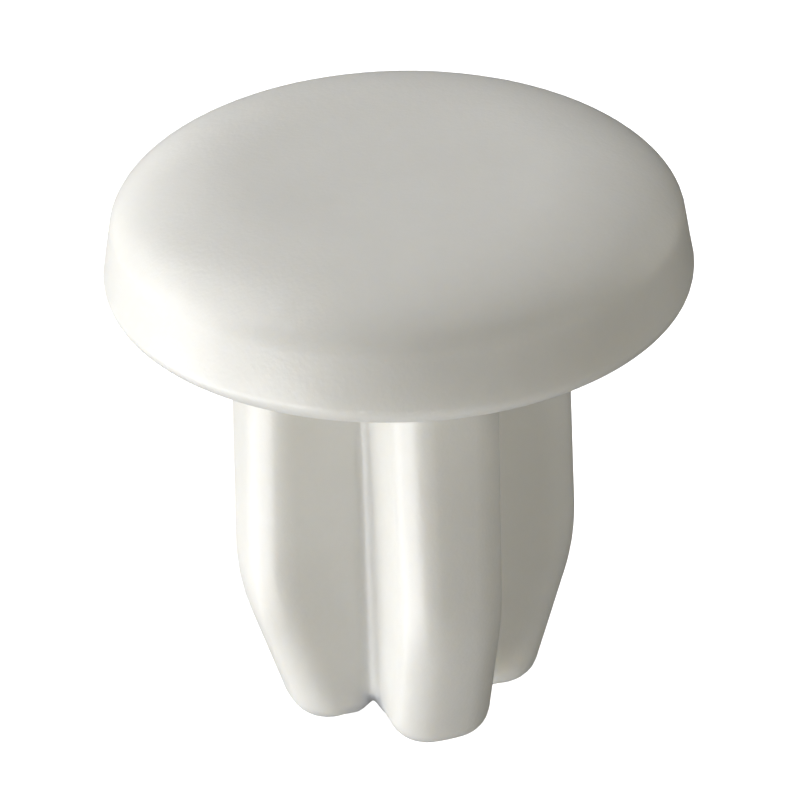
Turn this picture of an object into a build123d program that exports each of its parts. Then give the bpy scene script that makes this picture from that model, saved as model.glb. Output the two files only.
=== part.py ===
from build123d import *
from math import atan, cos, degrees, radians, sqrt, tan
import os

# A push-in hole plug, moulded in one piece: a round button head on a stem of
# four thick ribs that are squeezed into the hole.
# Millimetres. +Z runs out through the head, the ribs lie along X and Y, and the
# origin is on the axis at the face of the head that rests on the panel.

# Head: flat in the middle, then rolled over in a quarter ellipse to its wall
head_diameter = 14.0
head_height = 2.95
flat_top_radius = 3.5
rim_drop = 1.35
wall_draft = 9.0
seat_corner_radius = min(0.45, 0.17 * head_height)

# Outline of the stem: a straight neck in the panel, a swell to the grip behind it,
# then a lead-in down to the tip
hole_diameter = 8.0
grip_squeeze = 0.2
neck_relief = 0.1
neck_length = 2.2
stem_length = 11.4
lead_in_length = 3.8
lead_in_step = 1.2
lead_in_blend_radius = 6.0

# Ribs
rib_count = 4
rib_thickness = 2.74
rib_draft = 0.55
groove_radius = 0.3
rib_corner_radius = min(0.98, 0.36 * rib_thickness)
tip_edge_radius = min(0.8, 0.3 * rib_thickness)

# Hollow that parts the ribs' ends: what it leaves of each rib, how deep it goes
rib_end_length = 1.05
hollow_depth = 0.8

grip_radius = hole_diameter / 2 + grip_squeeze
neck_radius = grip_radius - neck_relief
tip_radius = grip_radius - lead_in_step
hollow_radius = tip_radius - rib_end_length
# The ribs are drawn past the stem's outline and then trimmed to it.
rib_reach = grip_radius + rib_thickness

def make_head():
    """The button: a flat top, an elliptical rim, and a wall drafted in towards the top."""
    lean = tan(radians(wall_draft))
    # The wall's sharp foot stands outside the head's widest circle.
    foot = head_diameter / 2 + seat_corner_radius * (1 / cos(radians(wall_draft)) + lean - 1)
    centre = (flat_top_radius, head_height - rim_drop)
    # The ellipse is as wide as it must be to run into the leaning wall without a corner.
    reach = foot - lean * centre[1] - flat_top_radius
    rim_width = sqrt(reach**2 - (lean * rim_drop) ** 2)
    wall_end = degrees(atan(lean * rim_drop / rim_width))
    with BuildPart() as head:
        with BuildSketch(Plane.XZ) as section:
            with BuildLine():
                rim = EllipticalCenterArc(centre, rim_width, rim_drop, wall_end, arc_size=90 - wall_end)
                Polyline(rim @ 1, (0, head_height), (0, 0), (foot, 0), rim @ 0)
            make_face()
            fillet(section.vertices().sort_by(Axis.X)[-1], seat_corner_radius)
        revolve(axis=Axis.Z)
    return head.part

def make_outline():
    """The turned shape that the ribs of the stem reach out to."""
    with BuildPart() as outline:
        with BuildSketch(Plane.XZ) as section:
            with BuildLine():
                Polyline(
                    (0, 0),
                    (neck_radius, 0),
                    (neck_radius, -neck_length),
                    (grip_radius, lead_in_length - stem_length),
                    (tip_radius, -stem_length),
                    (0, -stem_length),
                    close=True,
                )
            make_face()
            fillet(section.vertices().sort_by(Axis.X)[-1], lead_in_blend_radius)
        revolve(axis=Axis.Z)
    return outline.part

def make_ribs():
    """Ribs meeting on the axis, thinner towards the tip, with rounded grooves between."""
    downwards = Plane(origin=(0, 0, 0), z_dir=(0, 0, -1))
    with BuildPart() as ribs:
        with BuildSketch(downwards) as star:
            with PolarLocations(0, rib_count):
                Rectangle(rib_reach, rib_thickness, align=(Align.MIN, Align.CENTER))
            grooves = star.vertices().sort_by(lambda corner: corner.center().length)[:rib_count]
            fillet(grooves, groove_radius)
        extrude(amount=stem_length, taper=rib_draft)
    return ribs.part

def off_axis(edge):
    """Distance of an edge's middle from the plug's axis."""
    return Vector(edge.center().X, edge.center().Y, 0).length

def make_stem():
    """The ribs trimmed to the outline, rounded, and parted at the tip by a hollow."""
    stem = make_ribs() & make_outline()
    rising = [edge for edge in stem.edges() if edge.bounding_box().size.Z > groove_radius]
    outer_corners = [edge for edge in rising if off_axis(edge) > tip_radius]
    stem = stem.fillet(rib_corner_radius, outer_corners)
    tip = stem.faces().sort_by(Axis.Z)[0]
    stem = stem.fillet(tip_edge_radius, tip.edges())
    hollow = Cylinder(hollow_radius, 2 * hollow_depth)
    return stem - Pos(0, 0, -stem_length) * hollow

os.makedirs("parts", exist_ok=True)
export_step(make_head() + make_stem(), "parts/hole_plug.step")
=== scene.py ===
from math import cos, pi, radians, sin

import bpy
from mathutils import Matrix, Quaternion, Vector


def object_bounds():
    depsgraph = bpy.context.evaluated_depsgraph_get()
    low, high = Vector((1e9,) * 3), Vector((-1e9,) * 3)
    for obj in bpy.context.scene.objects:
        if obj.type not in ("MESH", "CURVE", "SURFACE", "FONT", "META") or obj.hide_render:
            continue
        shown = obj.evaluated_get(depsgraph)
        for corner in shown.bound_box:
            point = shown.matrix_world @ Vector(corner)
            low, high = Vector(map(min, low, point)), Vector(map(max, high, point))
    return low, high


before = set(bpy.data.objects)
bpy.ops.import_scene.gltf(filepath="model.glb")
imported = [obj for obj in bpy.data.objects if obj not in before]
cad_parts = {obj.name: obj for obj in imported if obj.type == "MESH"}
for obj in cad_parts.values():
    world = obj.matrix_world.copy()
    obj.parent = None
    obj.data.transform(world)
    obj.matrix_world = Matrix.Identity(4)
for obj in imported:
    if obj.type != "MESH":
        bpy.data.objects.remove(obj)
cad_low, cad_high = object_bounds()

# ---- Hole plug ----
# One injection moulding in natural white nylon: a button head on a stem of four
# ribs. The resin is slightly see-through, so light seeps round its edges, and its
# skin is semi-gloss with the faint cloudiness and grain that the mould leaves.


class Wire:
    """A shader value that takes part in Python arithmetic: each operator adds a Math node."""

    def __init__(self, tree, output):
        self.tree, self.output = tree, output

    def combine(self, operation, first, second):
        return self.tree.add("Math", {"operation": operation}, {0: first, 1: second})

    def __add__(self, other):
        return self.combine("ADD", self, other)

    def __mul__(self, other):
        return self.combine("MULTIPLY", self, other)

    __radd__ = __add__
    __rmul__ = __mul__


class Finish:
    """A new material and its node tree, with one way to add a node."""

    def __init__(self, name):
        self.material = bpy.data.materials.new(name)
        self.material.use_nodes = True
        self.nodes = self.material.node_tree.nodes
        self.shader = self.nodes["Principled BSDF"]

    def connect(self, node, sockets):
        """Set or link each socket of a node, given by name or number."""
        for socket, value in sockets.items():
            if isinstance(value, Wire):
                self.material.node_tree.links.new(value.output, node.inputs[socket])
            else:
                node.inputs[socket].default_value = value

    def add(self, kind, settings, sockets, output=0):
        """A node of one kind, its settings made first, then its sockets; gives one output."""
        node = self.nodes.new("ShaderNode" + kind)
        for name, value in settings.items():
            setattr(node, name, value)
        self.connect(node, sockets)
        return Wire(self, node.outputs[output])

    def noise(self, place, size, detail):
        """Soft random values about 0.5, in lumps of about the given size in metres."""
        sockets = {"Vector": place, "Scale": 1 / size, "Detail": detail}
        return self.add("TexNoise", {}, sockets)


nylon = Finish("white_nylon")
place = nylon.add("TexCoord", {}, {}, "Object")
cloud = nylon.noise(place, size=0.0025, detail=2.0)
mottle = nylon.noise(place, size=0.0005, detail=3.0)
grain = nylon.noise(place, size=0.00012, detail=1.0)

# The tint drifts between two shades of the resin. A colour Mix has its two colours at
# sockets 6 and 7, and gives their blend at output 2.
clear_resin = (0.90, 0.89, 0.845, 1)
dense_resin = (0.83, 0.815, 0.765, 1)
cloud_share = 0.7
density = cloud_share * cloud + (1 - cloud_share) * mottle
tint = nylon.add(
    "Mix",
    {"data_type": "RGBA"},
    {"Factor": density, 6: clear_resin, 7: dense_resin},
    output=2,
)

skin_depth = 0.000009
grain_share = 0.6
relief = grain_share * grain + mottle
skin = nylon.add("Bump", {}, {"Strength": 1.0, "Distance": skin_depth, "Height": relief})

least_roughness = 0.29
roughness_range = 0.08
# Light seeps this far into the resin, red the furthest and blue the least.
seep_depth = 0.0006
seep_by_colour = (1.0, 0.95, 0.85)
nylon.connect(
    nylon.shader,
    {
        "Base Color": tint,
        "Roughness": least_roughness + roughness_range * mottle,
        "Normal": skin,
        "IOR": 1.5,
        "Subsurface Weight": 1.0,
        "Subsurface Radius": seep_by_colour,
        "Subsurface Scale": seep_depth,
    },
)
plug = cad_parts["hole_plug"]
plug.material_slots[0].material = nylon.material

# The plug's faces are joined along their edges and share one smooth skin of normals,
# with breaks only at the sharp corners of the root and the hollow.
seam_gap = 0.000001
sharp_corner = 40
weld = plug.modifiers.new("weld", "WELD")
weld.merge_threshold = seam_gap
crease = plug.modifiers.new("crease", "EDGE_SPLIT")
crease.split_angle = radians(sharp_corner)
plug.modifiers.new("soften", "WEIGHTED_NORMAL")

# ---- Floor ----
# A sheet of white backing paper, lit from behind until it shows no shade. It takes
# no part in lighting the plug: the softboxes below do that.
floor_reach = 1.0
corners = [(-1, -1), (1, -1), (1, 1), (-1, 1)]
sheet_corners = [(x * floor_reach, y * floor_reach, cad_low.z) for x, y in corners]
sheet = bpy.data.meshes.new("floor")
sheet.from_pydata(sheet_corners, [], [(0, 1, 2, 3)])
floor = bpy.data.objects.new("floor", sheet)
bpy.context.scene.collection.objects.link(floor)
paper = Finish("backing_paper")
paper.connect(
    paper.shader,
    {
        "Base Color": (0.9, 0.9, 0.9, 1),
        "Roughness": 0.9,
        "Emission Color": (1, 1, 1, 1),
        "Emission Strength": 1.0,
    },
)
sheet.materials.append(paper.material)
floor.visible_diffuse = False
floor.visible_glossy = False
floor.visible_shadow = False

# ---- Studio lights ----
# Square softboxes round the plug, each turned to face it, in a dim white room:
# daylight from the left and low in front, and a warmer fill from the right.
camera_turn = 17.6
light_distance = 0.3
daylight = (0.985, 0.99, 1)
warm_light = (1, 0.98, 0.91)
plain_light = (1, 1, 1)
room_light = 0.02


def direction(azimuth, elevation):
    """A unit vector from the origin, turned to the camera's right and raised, in degrees."""
    turn, rise = radians(azimuth - camera_turn), radians(elevation)
    return Vector((sin(turn) * cos(rise), -cos(turn) * cos(rise), sin(rise)))


def softbox(name, azimuth, elevation, size, strength, colour):
    """A square of even light aimed at the origin. Its power is 4 pi times the strength
    times the distance squared, so that strength 1 lights a white card to white."""
    towards = direction(azimuth, elevation)
    panel = bpy.data.lights.new(name, "AREA")
    panel.size = size
    panel.color = colour
    panel.energy = 4 * pi * strength * light_distance**2
    light = bpy.data.objects.new(name, panel)
    light.location = light_distance * towards
    light.rotation_mode = "QUATERNION"
    light.rotation_quaternion = towards.to_track_quat("Z", "Y")
    bpy.context.scene.collection.objects.link(light)


softbox("window", azimuth=-107, elevation=45, size=0.28, strength=0.66, colour=daylight)
softbox("left", azimuth=-92, elevation=8, size=0.2, strength=0.27, colour=daylight)
softbox("low_left", azimuth=-85, elevation=-29, size=0.16, strength=0.27, colour=daylight)
softbox("low_front", azimuth=-48, elevation=-28, size=0.15, strength=0.38, colour=daylight)
softbox("under", azimuth=-10, elevation=-60, size=0.25, strength=0.08, colour=plain_light)
softbox("back_left", azimuth=-150, elevation=15, size=0.2, strength=0.11, colour=plain_light)
softbox("fill", azimuth=50, elevation=15, size=0.3, strength=0.29, colour=warm_light)
softbox("back_right", azimuth=120, elevation=15, size=0.2, strength=0.08, colour=warm_light)

room = bpy.data.worlds.new("studio")
bpy.context.scene.world = room
room.use_nodes = True
walls = room.node_tree.nodes["Background"]
walls.inputs["Color"].default_value = (1, 1, 1, 1)
walls.inputs["Strength"].default_value = room_light

# ---- Camera ----
# A long lens above the head, rolled a little, with the front rib turned to its
# right. It looks at the upper stem.
camera_rise = 29.2
camera_roll = -1.6
camera_distance = 0.154
lens_length = 292.1
nearest_seen = 0.01
aim_height = -0.00329
aim_shift = -0.000057
aim = Vector((0, 0, aim_height)) + aim_shift * direction(90, 0)
lens = bpy.data.cameras.new("camera")
lens.lens = lens_length
lens.clip_start = nearest_seen
camera = bpy.data.objects.new("camera", lens)
camera.location = camera_distance * direction(0, camera_rise)
facing = (camera.location - aim).to_track_quat("Z", "Y")
camera.rotation_mode = "QUATERNION"
camera.rotation_quaternion = facing @ Quaternion((0, 0, 1), radians(camera_roll))
bpy.context.scene.collection.objects.link(camera)
bpy.context.scene.camera = camera
bpy.context.scene.view_settings.view_transform = "Standard"
